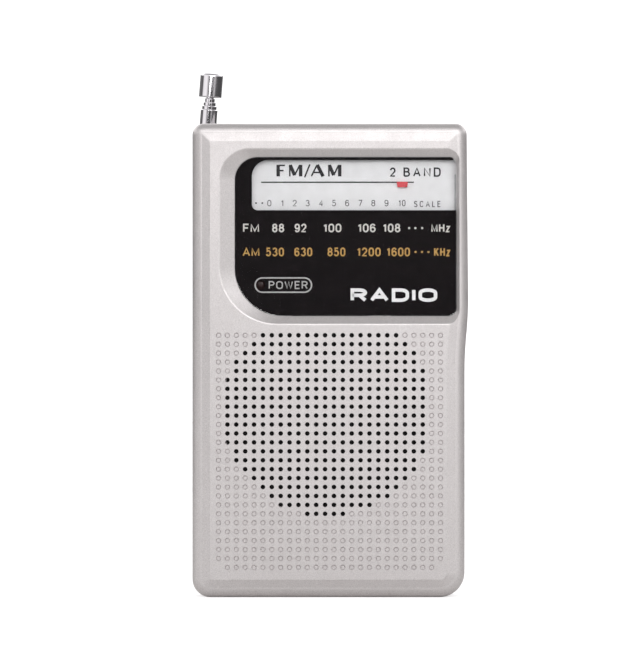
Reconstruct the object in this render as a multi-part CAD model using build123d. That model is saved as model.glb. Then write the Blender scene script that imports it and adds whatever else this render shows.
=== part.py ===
from build123d import *
from math import cos, radians, sin
import os

# Transistor pocket radio, millimetres.
# X to the right, Y from the face to the back, Z up. The origin is the centre of the base.

# ---- Case ----
HEIGHT = 118.0
LEFT, RIGHT = -33.9, 33.9
FRONT, PART_LINE, BACK = -15.0, -3.0, 15.0
WALL = 1.8
TOP_CORNER, BASE_CORNER_LEFT, BASE_CORNER_RIGHT = 2.8, 4.5, 6.2
EDGE_ROUND = 2.3             # rounding between the side walls and the face
PAD_STEP = 0.4               # the face stands this far in front of the edge rounding
PAD_INSET, PAD_RAMP = 2.3, 2.1   # where the face starts to rise, and over what width
GUARD = 0.95                 # bulge of the right side that hides the two thumbwheels
GUARD_BACK = -9.0
FLOOR_Y = FRONT + WALL       # inner side of the front wall
REAR_Y = BACK - WALL         # inner side of the back wall

# ---- Speaker and its holes ----
SPEAKER_X, SPEAKER_Z = 0.25, 46.4
HOLE_COLUMNS, HOLE_ROWS = 26, 27
HOLE_PITCH_X, HOLE_PITCH_Z = 2.21, 2.222
HOLE_TOP_Z = 65.24
OPEN_RADIUS, DIMPLE_RADIUS, DIMPLE_DEPTH = 0.58, 0.68, 0.3
OPEN_CENTRE_COLUMN, OPEN_CENTRE_ROW, OPEN_FIELD = 12.2, 8.5, 11.8
SPEAKER_RIM = 28.2
RIM_FRONT, RIM_BACK = -11.6, -10.9
FRAME_BACK, FRAME_SHEET = -4.9, 0.6       # back of the frame's floor, and its thickness
PLATE_BACK, MAGNET_BACK, YOKE_BACK = -3.9, 1.2, 2.6
PLATE_BORE, POLE_R, MAGNET_R, YOKE_R = 5.4, 4.6, 13.0, 12.0
COIL_R, COIL_TUBE = 5.0, 0.3              # voice coil's tube
CLAMP_CIRCLE = 31.0
CLAMP_ANGLES = (-135, -45, 30, 150)

# ---- Dial ----
DISH_DEPTH = 1.6
DISH_RIM, DISH_RIM_DEPTH = 0.35, 0.1       # softened edge between the face and the dish
DISH_Y = FRONT + DISH_DEPTH
DISH = (-27.0, 32.8, 68.1, 111.5)          # left, right, bottom, top at the face
WINDOW = (-23.4, 31.9, 70.0, 109.7)        # the same at the bottom of the dish
DISH_RADII = (14.3, 3.0, 2.4, 7.5)         # bottom left, bottom right, top right, top left
WINDOW_RADII = (12.0, 2.0, 1.8, 5.8)
BEZEL_BACK = -11.7
LENS_THICK, MASK_THICK = 1.25, 0.3
FILM = 0.05                  # adhesive film between the lens and the mask
CARD = (-19.1, 31.7, 96.4, 108.9)
CARD_RADII = (1.5, 0.01, 0.01, 4.1)
PLATE_Y, PLATE_THICK = -10.4, 0.4
SLOT_Z, SLOT_HEIGHT = 103.4, 0.34
NECK_HALF = 0.12             # half height of the pointer's neck in the slot
SLOT_LEFT, SLOT_RIGHT = -16.8, 21.3
POINTER_X = 18.4
LAMP_X, LAMP_Z = -17.0, 77.8
LEAD_HALF = 0.7              # half the distance between the lamp's leads

# ---- Tuning: wheel on the capacitor's shaft, cord round its drum and two pulleys ----
TUNE_X, TUNE_Z, TUNE_R = 19.6, 91.2, 15.0
WHEEL_FRONT, WHEEL_BACK = -8.0, -5.2
CORD_Y, CORD_R = -8.85, 0.22
DRUM_R, DRUM_FLANGE_R, DRUM_FRONT = 10.5, 11.0, -9.75
PULLEY_R, PULLEY_FLANGE_R, PULLEY_X = 2.0, 2.6, -25.5
CORD_GAP = 0.12              # between the cord and the groove under it
CORD_TOP_Z = TUNE_Z + DRUM_R
CORD_LOW_Z = TUNE_Z - DRUM_R
SHAFT_R, FIT = 3.0, 0.04

# ---- Volume ----
VOL_X, VOL_Z, VOL_R = 25.4, 67.0, 9.0
VOL_SHAFT_R = 2.0
TUNE_SEAT, VOL_SEAT = -8.7, -7.0       # front ends of the shafts, under the wheels' screws

# ---- Circuit board ----
BOARD_FRONT, BOARD_BACK = -3.4, -2.2
BOARD = (-31.4, 31.9, 61.5, 109.5)

IC_X, IC_Z, IC_LENGTH, IC_WIDTH, IC_PINS, IC_PITCH = -3.0, 71.0, 20.0, 6.4, 8, 2.54
CAN_X, CAN_Z, CAN_SIDE, CAN_TALL = (-14.0, -4.0), (83.0, 94.0), 7.2, 10.5
ELECTROLYTICS = ((13, 75, 3.0, 9.0), (13, 67, 2.5, 8.0), (5, 78.5, 2.5, 8.0),
                 (-21, 68, 4.0, 10.0))     # x, z, radius, height
DISC_SPOTS = ((-23, 80), (3, 88), (3, 96), (20, 77.5))
DISC_RADIUS, DISC_HALF_THICK = 2.6, 0.8
FILTER_X, FILTER_Z = -22.5, (94.4, 98.6)
RESISTOR_SPOTS = ((-9, 64), (-9, 77.5), (4, 64.5), (-24, 74.8), (-17, 100.6), (-5, 100.6),
                  (5.5, 100.6))
RESISTOR_R, RESISTOR_HALF = 1.1, 3.0
ROD_Y, ROD_Z, ROD_R = 4.2, 105.9, 3.5      # ferrite rod
ROD_X = (-22.0, 29.0)
COIL_X, COIL_THICK, HOLDER_X = (-8.0, 12.0), 0.5, (-18.0, 20.0)

# ---- Screws ----
SCREW_R, HEAD_R = 1.0, 1.8
CASE_SCREWS = ((-29.8, 36.0), (29.8, 36.0), (-22.5, 113.0), (28.0, 113.0))
CASE_SEAT_Y = 4.0
BOARD_SCREWS = ((-29.2, 104.6), (-29.0, 75.0), (30.2, 107.5))

# ---- Batteries ----
CELL_R, CELL_LENGTH, CELL_Y = 7.2, 50.5, 5.6
CELL_Z = (9.4, 24.2)
BAY_X, BAY_TOP, BAY_FRONT = 28.6, 31.7, -1.9
BAY_WALL = 1.1
CONTACT_GAP, CONTACT_SHEET = 0.05, 0.4     # between a cell and its contact, and the sheet
DOOR_HALF, DOOR_TOP, DOOR_FRONT = 27.5, 32.3, 11.2
DOOR_GAP, DOOR_LIP = 0.15, 1.2

# ---- Antenna ----
REBATE_X, REBATE_Y, REBATE_LOW = -27.4, 7.2, 62.5
PIVOT = (-31.9, 11.2, 98.0)
LEAN = 4.4                   # degrees to the right at rest
TUBE_R, TUBE_WALL = 2.12, 0.25
STAGE_STEP = 0.94            # how far each closed section stands out of the last
TUBE_BASE, TUBE_END = 3.2, 24.2
KNOB_R, KNOB_LENGTH = 2.85, 6.0
KNOB_BASE = 27.3             # distance from the pivot to the knob when closed
ROD_END = 30.5
EAR_HALF_GAP, EAR_THICK = 1.05, 0.9

# ---- Controls on the left side ----
SWITCH_Y, SWITCH_Z, SWITCH_TRAVEL = 1.0, 111.7, 2.5
KNOB_LENGTH_Z, KNOB_WIDTH_Y = 3.5, 3.4
JACK_Y, JACK_Z, JACK_BORE, JACK_BODY_R = 1.6, 88.0, 1.8, 2.9


# ---- Small helpers ----
def block(x0, x1, y0, y1, z0, z1):
    """Box from its lowest to its highest corner."""
    centre = ((x0 + x1) / 2, (y0 + y1) / 2, (z0 + z1) / 2)
    return Pos(*centre) * Box(x1 - x0, y1 - y0, z1 - z0)


def along_y(x, z, radius, y0, y1):
    """Cylinder lying along Y."""
    return Pos(x, (y0 + y1) / 2, z) * Rot(90, 0, 0) * Cylinder(radius, y1 - y0)


def along_x(y, z, radius, x0, x1):
    """Cylinder lying along X."""
    return Pos((x0 + x1) / 2, y, z) * Rot(0, 90, 0) * Cylinder(radius, x1 - x0)


def slab(sketch, y0, y1):
    """Front-view outline made solid between two depths."""
    plane = Plane((0, y1, 0), x_dir=(1, 0, 0), z_dir=(0, -1, 0))
    return extrude(plane * sketch, amount=y1 - y0)


def turned(profile, x=0.0, z=0.0):
    """Outline of (radius, y) points turned about an axis along Y."""
    return Pos(x, 0, z) * revolve(make_face(Polyline(*profile, close=True)), Axis.Y)


def outline(points, radii):
    """Closed outline through the points, each corner with its own radius."""
    shape = make_face(Polyline(*points, close=True))
    for point, radius in zip(points, radii):
        corner = shape.vertices().sort_by_distance(Vector(*point))[0]
        shape = fillet(corner, radius)
    return shape


def rectangle(bounds, radii=None):
    """Outline from (left, right, bottom, top), corners from bottom left anticlockwise."""
    left, right, low, high = bounds
    points = [(left, low), (right, low), (right, high), (left, high)]
    if radii is None:
        return make_face(Polyline(*points, close=True))
    return outline(points, radii)


def joined(parts):
    """Fuse a list of solids into one part."""
    return Part() + list(parts)


def group(parts):
    """Separate solids kept side by side in one node."""
    return Compound(children=[piece for part in parts for piece in part.solids()])


def pan_screw(x, z, seat_y, head, length, point=-1):
    """Cross-head screw along Y, its head on the far side of the seat from its point."""
    head_end, tip = seat_y - point * head, seat_y + point * length
    screw = along_y(x, z, HEAD_R, *sorted((seat_y, head_end)))
    screw = fillet(screw.edges().filter_by(GeomType.CIRCLE).sort_by_distance(
        Vector(x, head_end, z))[0], head * 0.4)
    screw += along_y(x, z, SCREW_R, *sorted((seat_y, tip)))
    for turn in (0, 90):
        cross = Pos(x, head_end, z) * Rot(0, turn, 0) * Box(2.2, head, 0.45)
        screw -= cross
    return screw


def write(name, shape):
    """One STEP file for each node."""
    export_step(shape, os.path.join("parts", name + ".step"))
    print(name, round(shape.volume, 1))


# ---- Case outlines ----
def plain_outline():
    points = [(LEFT, 0), (RIGHT, 0), (RIGHT, HEIGHT), (LEFT, HEIGHT)]
    return outline(points, (BASE_CORNER_LEFT, BASE_CORNER_RIGHT, TOP_CORNER, TOP_CORNER))


def guard_outline(inset=0.0):
    """Case outline with the right side swelling beside the thumbwheels."""
    left, right, low, high = LEFT + inset, RIGHT - inset, inset, HEIGHT - inset
    points = [(left, low), (right, low), (right, 60.2), (right + GUARD, 71.0),
              (right + GUARD * 0.55, high), (left, high)]
    corners = [max(corner - inset, 0.4) for corner in
               (BASE_CORNER_LEFT, BASE_CORNER_RIGHT, TOP_CORNER, TOP_CORNER)]
    return outline(points, corners[:2] + [90, 90] + corners[2:])


def edges_at(shape, depth):
    """Edges that lie in the plane y = depth."""
    return shape.edges().filter_by_position(Axis.Y, depth - 0.001, depth + 0.001)


def speaker_holes():
    """Cutters for the open holes over the speaker and the blind dimples round them."""
    cutters = []
    left = SPEAKER_X - HOLE_PITCH_X * (HOLE_COLUMNS - 1) / 2
    for row in range(HOLE_ROWS):
        last_row = row == HOLE_ROWS - 1
        for column in range(HOLE_COLUMNS):
            if last_row and column in (0, HOLE_COLUMNS - 1):
                continue
            x = left + column * HOLE_PITCH_X
            z = HOLE_TOP_Z - row * HOLE_PITCH_Z
            reach = ((column - OPEN_CENTRE_COLUMN) ** 2 + (row - OPEN_CENTRE_ROW) ** 2) ** 0.5
            if reach <= OPEN_FIELD:
                cutters.append(along_y(x, z, OPEN_RADIUS, FRONT - 0.5, FLOOR_Y + 0.3))
            else:
                dimple = Cone(DIMPLE_RADIUS, DIMPLE_RADIUS * 0.6, DIMPLE_DEPTH)
                cutters.append(Pos(x, FRONT + DIMPLE_DEPTH / 2, z) * Rot(-90, 0, 0) * dimple)
    return cutters


def wheel_slot(x, z, radius):
    """Slot in the right wall for a thumbwheel, open to the parting line."""
    reach = (radius + 0.4) ** 2 - (RIGHT - WALL - 0.2 - x) ** 2
    half = reach ** 0.5
    return (z - half, z + half)


TUNE_SLOT = wheel_slot(TUNE_X, TUNE_Z, TUNE_R)
VOL_SLOT = wheel_slot(VOL_X, VOL_Z, VOL_R)


# ---- Casing ----
def make_front_cover():
    face_y = FRONT + PAD_STEP
    guard = slab(guard_outline(), face_y, GUARD_BACK)
    guard = fillet(edges_at(guard, face_y), EDGE_ROUND)
    cover = guard + slab(plain_outline(), GUARD_BACK - 0.01, PART_LINE)
    foot, top = Plane.XZ.offset(-face_y - 0.02), Plane.XZ.offset(-FRONT)
    cover += loft([foot * guard_outline(PAD_INSET), top * guard_outline(PAD_INSET + PAD_RAMP)],
                  ruled=True)
    inside = offset(plain_outline(), -WALL)
    cover -= slab(inside, FLOOR_Y, PART_LINE + 1)

    bezel = offset(rectangle(DISH, DISH_RADII), 0.9)
    seat = Pos(SPEAKER_X, SPEAKER_Z) * (Circle(SPEAKER_RIM + 0.4) - Circle(SPEAKER_RIM - 1.4))
    cover += slab(bezel & inside, FLOOR_Y - 0.2, BEZEL_BACK)
    cover += slab(seat, FLOOR_Y - 0.2, RIM_FRONT)
    for x, z in CASE_SCREWS:
        cover += along_y(x, z, 2.3, FLOOR_Y - 0.2, PART_LINE - 0.1)
    for x, z in clamp_spots():
        cover += along_y(x, z, 2.2, FLOOR_Y - 0.2, RIM_BACK)
        cover -= along_y(x, z, SCREW_R + 0.02, FLOOR_Y + 0.4, RIM_BACK + 1)
    for x, z in BOARD_SCREWS[:2]:
        cover += along_y(x, z, 2.0, FLOOR_Y - 0.2, BOARD_FRONT)
    x, z = BOARD_SCREWS[2]
    cover += block(x - 2, RIGHT - WALL + 0.3, PLATE_Y + PLATE_THICK, BOARD_FRONT, z - 2, z + 2)
    for x, z in BOARD_SCREWS:
        cover -= along_y(x, z, SCREW_R + 0.02, BOARD_FRONT - 5, BOARD_FRONT + 1)
    for x, z in CASE_SCREWS:
        cover -= along_y(x, z, SCREW_R + 0.02, PART_LINE - 7.5, PART_LINE + 1)

    # pulley posts, and the ledge that carries the left end of the scale plate
    for z in (CORD_TOP_Z - PULLEY_R, CORD_LOW_Z + PULLEY_R):
        cover += along_y(PULLEY_X, z, 1.5, BEZEL_BACK - 1.0, CORD_Y - 1.1)
    cover += block(-27, -19.5, BEZEL_BACK - 0.5, PLATE_Y, 105.0, 110.5) - slab(
        rectangle(WINDOW, WINDOW_RADII), BEZEL_BACK - 1, BEZEL_BACK + 0.05)

    mouth, floor = rectangle(DISH, DISH_RADII), rectangle(WINDOW, WINDOW_RADII)
    edge = Plane.XZ.offset(-FRONT - DISH_RIM_DEPTH)
    cover -= loft([edge * mouth, Plane.XZ.offset(-DISH_Y) * floor], ruled=True)
    cover -= loft([top * offset(mouth, DISH_RIM), edge * mouth], ruled=True)
    cover -= slab(rectangle(WINDOW, WINDOW_RADII), DISH_Y - 0.01, PLATE_Y)
    for low, high in (TUNE_SLOT, VOL_SLOT):
        cover -= block(RIGHT - WALL - 0.5, RIGHT + 2, WHEEL_FRONT - 0.35, PART_LINE + 1, low, high)
    return cover


def perforate(cover):
    return cover - speaker_holes()


def rear_form():
    """Outer form of the rear half, before it is hollowed."""
    shell = slab(plain_outline(), PART_LINE, BACK)
    return fillet(edges_at(shell, BACK), EDGE_ROUND - 0.1)


def make_rear_cover():
    inside = offset(plain_outline(), -WALL)
    cavity = slab(inside, PART_LINE - 1, REAR_Y)
    shell = rear_form() - cavity

    # stepped corner in which the antenna stands and folds down
    rebate_walls = block(LEFT + 0.5, REBATE_X + WALL, REBATE_Y - WALL, REAR_Y + 0.3,
                         REBATE_LOW - WALL, HEIGHT - 0.5)
    shell += rebate_walls & rear_form()
    shell += along_y(PIVOT[0], PIVOT[2], 1.9, 1.0, REBATE_Y - 0.5)
    shell -= block(LEFT - 1, REBATE_X, REBATE_Y, BACK + 1, REBATE_LOW, HEIGHT + 1)
    shell -= along_y(PIVOT[0], PIVOT[2], SCREW_R + 0.02, 1.8, REBATE_Y + 1)

    # battery bay
    bay_x, bay_top = BAY_X + BAY_WALL, BAY_TOP + BAY_WALL
    bay = block(-bay_x, bay_x, BAY_FRONT - BAY_WALL, REAR_Y + 0.3, WALL - 0.3, bay_top)
    bay -= block(-BAY_X, BAY_X, BAY_FRONT, REAR_Y + 1, 0, BAY_TOP)
    shell += bay
    for side in (-1, 1):
        rail = sorted((side * (DOOR_HALF + 0.1), side * (BAY_X + 0.3)))
        shell += block(*rail, DOOR_FRONT + 1.2, REAR_Y + 0.05, WALL - 0.1, BAY_TOP)

    # screw pillars
    for x, z in CASE_SCREWS:
        shell += along_y(x, z, 3.3, PART_LINE, REAR_Y + 0.3)
    for x, z in CASE_SCREWS:
        shell -= along_y(x, z, 2.3, CASE_SEAT_Y, BACK + 1)
        shell -= along_y(x, z, SCREW_R + 0.3, PART_LINE - 1, BACK)

    # tongues that close the thumbwheel slots behind the wheels
    for low, high in (TUNE_SLOT, VOL_SLOT):
        shell += block(RIGHT - WALL + 0.05, RIGHT - 0.05, WHEEL_BACK + 0.35, PART_LINE + 0.5,
                       low + 0.15, high - 0.15)

    # battery door opening and the grooves for its lips
    shell -= block(-DOOR_HALF - DOOR_GAP, DOOR_HALF + DOOR_GAP, DOOR_FRONT - DOOR_GAP,
                   BACK + 1, -1, DOOR_TOP + DOOR_GAP)
    lip = DOOR_HALF + DOOR_LIP + 0.15
    shell -= block(-lip, lip, REAR_Y, REAR_Y + 0.95, -1, DOOR_TOP - 2.0)

    # openings in the left wall
    slide = block(LEFT - 1, LEFT + WALL + 0.1, SWITCH_Y - 1.9, SWITCH_Y + 1.9,
                  SWITCH_Z - KNOB_LENGTH_Z / 2 - SWITCH_TRAVEL - 0.3,
                  SWITCH_Z + KNOB_LENGTH_Z / 2 + 0.3)
    shell -= slide
    shell -= along_x(JACK_Y, JACK_Z, JACK_BODY_R + 0.1, LEFT - 1, LEFT + WALL + 0.2)
    return shell


def make_battery_door():
    inside = offset(plain_outline(), -WALL)
    shell = rear_form() - slab(inside, PART_LINE - 1, REAR_Y)
    door = shell & block(-DOOR_HALF, DOOR_HALF, DOOR_FRONT, BACK + 1, -1, DOOR_TOP)
    lip = DOOR_HALF + DOOR_LIP
    door += block(-lip, lip, REAR_Y + 0.1, REAR_Y + 0.8, WALL + 0.5, DOOR_TOP - 2.3)
    for rib in range(6):
        z = 20.0 + rib * 1.6
        door -= block(-7, 7, BACK - 0.5, BACK + 1, z, z + 0.8)
    return door


# ---- Dial ----
def make_dial_lens():
    lens = slab(offset(rectangle(WINDOW, WINDOW_RADII), -0.08), DISH_Y, DISH_Y + LENS_THICK)
    return chamfer(edges_at(lens, DISH_Y), 0.18)


def make_dial_mask():
    sheet = offset(rectangle(WINDOW, WINDOW_RADII), -0.25) - rectangle(CARD, CARD_RADII)
    lamp = Pos(LAMP_X, LAMP_Z) * Circle(1.3)
    mask_y = DISH_Y + LENS_THICK + FILM
    return slab(sheet - lamp, mask_y, mask_y + MASK_THICK)


def make_dial_plate():
    left, right, low, high = CARD
    plate = slab(rectangle((left - 4.6, right - 0.2, low - 0.8, high + 1.2)),
                 PLATE_Y, PLATE_Y + PLATE_THICK)
    slot = (SLOT_LEFT, SLOT_RIGHT, SLOT_Z - SLOT_HEIGHT / 2, SLOT_Z + SLOT_HEIGHT / 2)
    return plate - slab(rectangle(slot), PLATE_Y - 1, PLATE_Y + 1)


def make_dial_pointer():
    """Red tab in front of the scale plate, with the neck that passes its slot."""
    tab = outline([(-1.2, -1.2), (1.2, -1.2), (1.4, 0.15), (-1.4, 0.15)], (0.15,) * 4)
    pointer = slab(Pos(POINTER_X, SLOT_Z - 0.05) * tab, PLATE_Y - 0.75, PLATE_Y - 0.25)
    return pointer + block(POINTER_X - 1.0, POINTER_X + 1.0, PLATE_Y - 0.5,
                           PLATE_Y + PLATE_THICK + 0.5, SLOT_Z - NECK_HALF, SLOT_Z + NECK_HALF)


def make_pointer_carriage():
    """Slider behind the scale plate, with a clip round the cord at its left end."""
    front, rear = PLATE_Y + PLATE_THICK + 0.15, WHEEL_FRONT - 0.35
    low = TUNE_Z + DRUM_FLANGE_R + 0.35
    left, clip_right = POINTER_X - 7.8, POINTER_X - 5.6
    bar = block(left, POINTER_X + 2.5, front, rear, low, SLOT_Z + 1.0)
    bar += block(left, clip_right, front, rear, CORD_TOP_Z - 1.0, low + 0.1)
    bar -= along_x(CORD_Y, CORD_TOP_Z, CORD_R + CORD_GAP, left - 1, clip_right + 1)
    bar -= block(POINTER_X - 1.02, POINTER_X + 1.02, front - 1, PLATE_Y + PLATE_THICK + 0.52,
                 SLOT_Z - NECK_HALF - 0.02, SLOT_Z + NECK_HALF + 0.02)
    return bar


def make_dial_cord():
    """Closed loop over the drum, along the top, round both pulleys and back below."""
    pulley_high, pulley_low = CORD_TOP_Z - PULLEY_R, CORD_LOW_Z + PULLEY_R
    pieces = [along_x(CORD_Y, CORD_TOP_Z, CORD_R, PULLEY_X, TUNE_X),
              along_x(CORD_Y, CORD_LOW_Z, CORD_R, PULLEY_X, TUNE_X)]
    height = pulley_high - pulley_low
    pieces.append(Pos(PULLEY_X - PULLEY_R, CORD_Y, (pulley_high + pulley_low) / 2)
                  * Cylinder(CORD_R, height))
    pieces.append(ring_part(PULLEY_X, pulley_high, PULLEY_R, 90, 90))
    pieces.append(ring_part(PULLEY_X, pulley_low, PULLEY_R, 180, 90))
    pieces.append(ring_part(TUNE_X, TUNE_Z, DRUM_R, -90, 180))
    return joined(pieces)


def ring_part(x, z, radius, start, sweep_angle):
    """Part of a ring of cord about an axis along Y, angles from +X towards +Z."""
    turn = Rot(0, -start, 0) * Pos(radius, 0, 0) * Circle(CORD_R)
    axis = Axis((0, 0, 0), (0, -1, 0))
    return Pos(x, CORD_Y, z) * revolve(turn, axis, sweep_angle)


def make_pulley(z):
    """Grooved roller on its own pin."""
    groove = PULLEY_R - CORD_R - CORD_GAP
    front, rear = CORD_Y - 0.75, CORD_Y + 0.75
    profile = [(0.85, front), (PULLEY_FLANGE_R, front), (PULLEY_FLANGE_R, front + 0.25),
               (groove, CORD_Y - CORD_R - 0.1), (groove, CORD_Y + CORD_R + 0.1),
               (PULLEY_FLANGE_R, rear - 0.25), (PULLEY_FLANGE_R, rear), (0.85, rear)]
    return turned(profile, PULLEY_X, z)


def make_pulley_pins():
    """Headed pins on which the two pulleys turn."""
    pins = []
    for z in (CORD_TOP_Z - PULLEY_R, CORD_LOW_Z + PULLEY_R):
        pin = along_y(PULLEY_X, z, 0.85 - FIT, CORD_Y - 1.1, CORD_Y + 0.85)
        pins.append(pin + along_y(PULLEY_X, z, 1.7, CORD_Y + 0.85, CORD_Y + 1.35))
    return group(pins)


# ---- Thumbwheels ----
def ribbed_disc(x, z, radius, ribs):
    """Disc with fine finger grooves round its rim."""
    disc = along_y(x, z, radius, WHEEL_FRONT, WHEEL_BACK)
    disc = chamfer(disc.edges().filter_by(GeomType.CIRCLE), 0.25)
    step = 360 / ribs
    grooves = []
    for rib in range(ribs):
        angle = radians(rib * step)
        grooves.append(along_y(x + radius * cos(angle), z + radius * sin(angle), 0.32,
                               WHEEL_FRONT - 1, WHEEL_BACK + 1))
    return disc - grooves


def make_tuning_wheel():
    wheel = ribbed_disc(TUNE_X, TUNE_Z, TUNE_R, 72)
    groove = DRUM_R - CORD_R - CORD_GAP
    profile = [(0, DRUM_FRONT), (DRUM_FLANGE_R, DRUM_FRONT), (DRUM_FLANGE_R, DRUM_FRONT + 0.35),
               (groove, CORD_Y - CORD_R - 0.1), (groove, CORD_Y + CORD_R + 0.1),
               (DRUM_FLANGE_R, WHEEL_FRONT - 0.25), (DRUM_FLANGE_R, WHEEL_FRONT + 0.1),
               (0, WHEEL_FRONT + 0.1)]
    wheel += turned(profile, TUNE_X, TUNE_Z)
    wheel -= along_y(TUNE_X, TUNE_Z, 3.0, DRUM_FRONT - 1, TUNE_SEAT)
    wheel -= along_y(TUNE_X, TUNE_Z, SHAFT_R, TUNE_SEAT, WHEEL_BACK + 1)
    return wheel


def make_tuning_shaft():
    """Rotor shaft of the tuning capacitor, from the wheel through the board."""
    shaft = along_y(TUNE_X, TUNE_Z, SHAFT_R, TUNE_SEAT, BOARD_BACK - 0.1)
    return shaft - along_y(TUNE_X, TUNE_Z, SCREW_R + 0.02, -9, -5.0)


def make_tuning_capacitor():
    body = block(TUNE_X - 10, TUNE_X + 10, BOARD_BACK, 8.0, TUNE_Z - 10, TUNE_Z + 10)
    body = fillet(body.edges().filter_by(Axis.Y), 1.5)
    body += along_y(TUNE_X, TUNE_Z, 4.6, BOARD_FRONT - 1.2, BOARD_BACK + 0.1)
    body -= along_y(TUNE_X, TUNE_Z, SHAFT_R + FIT, BOARD_FRONT - 2, BOARD_BACK)
    for dx, dz in ((-6, 6), (6, 6), (-6, -6), (6, -6)):
        body -= along_y(TUNE_X + dx, TUNE_Z + dz, 1.6, 7.4, 9)
        body += along_y(TUNE_X + dx, TUNE_Z + dz, 1.3, 7.3, 7.9)
    return body


def make_volume_wheel():
    wheel = ribbed_disc(VOL_X, VOL_Z, VOL_R, 48)
    wheel -= along_y(VOL_X, VOL_Z, 3.0, WHEEL_FRONT - 1, VOL_SEAT)
    return wheel - along_y(VOL_X, VOL_Z, VOL_SHAFT_R, VOL_SEAT, WHEEL_BACK + 1)


def make_volume_shaft():
    shaft = along_y(VOL_X, VOL_Z, VOL_SHAFT_R, VOL_SEAT, BOARD_FRONT - 0.1)
    return shaft - along_y(VOL_X, VOL_Z, SCREW_R + 0.02, -8, -4.5)


def make_volume_pot():
    body = along_y(VOL_X, VOL_Z, 5.3, -5.0, BOARD_FRONT)
    body += block(VOL_X - 5.3, VOL_X + 5.3, -4.6, BOARD_FRONT, 61.7, VOL_Z)
    return body - along_y(VOL_X, VOL_Z, VOL_SHAFT_R + FIT, -6, BOARD_FRONT + 1)


# ---- Switch, socket, lamp ----
def make_band_switch_body():
    low, high = SWITCH_Z - 4.5, SWITCH_Z + 3.1
    body = block(LEFT + WALL + 0.5, -26.6, BOARD_BACK, SWITCH_Y + 3.2, low, high)
    slot_low = SWITCH_Z - 1.1 - SWITCH_TRAVEL
    return body - block(LEFT, -29.0, SWITCH_Y - 0.9, SWITCH_Y + 0.9, slot_low, SWITCH_Z + 1.1)


def make_band_switch_knob():
    z0, z1 = SWITCH_Z - KNOB_LENGTH_Z / 2, SWITCH_Z + KNOB_LENGTH_Z / 2
    half = KNOB_WIDTH_Y / 2
    knob = block(LEFT - 0.1, LEFT + WALL + 0.3, SWITCH_Y - half, SWITCH_Y + half, z0, z1)
    for rib in range(3):
        z = z0 + 0.65 + rib * 0.8
        knob -= block(LEFT - 1, LEFT + 0.25, SWITCH_Y - half - 1, SWITCH_Y + half + 1, z, z + 0.4)
    return knob + block(LEFT + WALL, -29.3, SWITCH_Y - 0.7, SWITCH_Y + 0.7,
                        SWITCH_Z - 0.9, SWITCH_Z + 0.9)


def make_earphone_jack():
    body = block(LEFT + WALL + 0.4, -22.0, BOARD_BACK, JACK_Y + 3.3, JACK_Z - 3.4, JACK_Z + 3.4)
    body += along_x(JACK_Y, JACK_Z, JACK_BODY_R, LEFT + 0.3, -30.0)
    return body - along_x(JACK_Y, JACK_Z, JACK_BORE, LEFT, -23.0)


def make_power_led():
    lamp = turned([(0, -11.5), (0.8, -11.35), (1.35, -10.9), (1.5, -10.4), (1.5, -8.6),
                   (1.9, -8.6), (1.9, -7.9), (0, -7.9)], LAMP_X, LAMP_Z)
    for side in (-LEAD_HALF, LEAD_HALF):
        lamp += along_y(LAMP_X + side, LAMP_Z, 0.25, -8.0, BOARD_BACK + 0.6)
    return lamp


# ---- Electronics ----
def make_circuit_board():
    board = slab(rectangle(BOARD), BOARD_FRONT, BOARD_BACK)
    board += block(BOARD[0], -26.2, BOARD_FRONT, BOARD_BACK, BOARD[3] - 1, 115.0)
    board -= along_y(TUNE_X, TUNE_Z, 4.7, BOARD_FRONT - 1, BOARD_BACK + 1)
    for x, z in BOARD_SCREWS:
        board -= along_y(x, z, SCREW_R + 0.1, BOARD_FRONT - 1, BOARD_BACK + 1)
    for side in (-LEAD_HALF, LEAD_HALF):
        board -= along_y(LAMP_X + side, LAMP_Z, 0.27, BOARD_FRONT - 1, BOARD_BACK + 1)
    return board


def on_board(x, z, width, height, tall):
    """Block standing on the component side of the board."""
    return block(x - width / 2, x + width / 2, BOARD_BACK, BOARD_BACK + tall,
                 z - height / 2, z + height / 2)


def make_radio_ic():
    chip = on_board(IC_X, IC_Z, IC_LENGTH, IC_WIDTH, 4.0)
    chip = chamfer(chip.edges().filter_by(Axis.Y), 0.4)
    legs = []
    for pin in range(IC_PINS):
        x = IC_X + (pin - (IC_PINS - 1) / 2) * IC_PITCH
        for side in (-1, 1):
            z0, z1 = sorted((IC_Z + side * (IC_WIDTH / 2 - 0.1), IC_Z + side * (IC_WIDTH / 2 + 0.7)))
            legs.append(block(x - 0.3, x + 0.3, BOARD_BACK, BOARD_BACK + 2.0, z0, z1))
    return chip + legs


def make_if_transformers():
    cans = []
    top = BOARD_BACK + CAN_TALL
    for x in CAN_X:
        for z in CAN_Z:
            can = on_board(x, z, CAN_SIDE, CAN_SIDE, CAN_TALL)
            cans.append(can - along_y(x, z, 2.0, top - 0.7, top + 1))
    return group(cans)


def make_electrolytics():
    cans = []
    for x, z, radius, tall in ELECTROLYTICS:
        can = along_y(x, z, radius, BOARD_BACK, BOARD_BACK + tall)
        cans.append(fillet(edges_at(can, BOARD_BACK + tall), 0.5))
    return group(cans)


def make_disc_capacitors():
    discs = []
    for x, z in DISC_SPOTS:
        disc = along_y(0, 0, DISC_RADIUS, -DISC_HALF_THICK, DISC_HALF_THICK)
        discs.append(Pos(x, BOARD_BACK + DISC_RADIUS, z) * Rot(90, 0, 0) * disc)
    return group(discs)


def make_ceramic_filters():
    return group([on_board(FILTER_X, z, 5, 2.8, 6.5) for z in FILTER_Z])


def make_resistors():
    return group([along_x(BOARD_BACK + RESISTOR_R, z, RESISTOR_R, x - RESISTOR_HALF,
                          x + RESISTOR_HALF) for x, z in RESISTOR_SPOTS])


def make_ferrite_rod():
    return along_x(ROD_Y, ROD_Z, ROD_R, *ROD_X)


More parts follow.
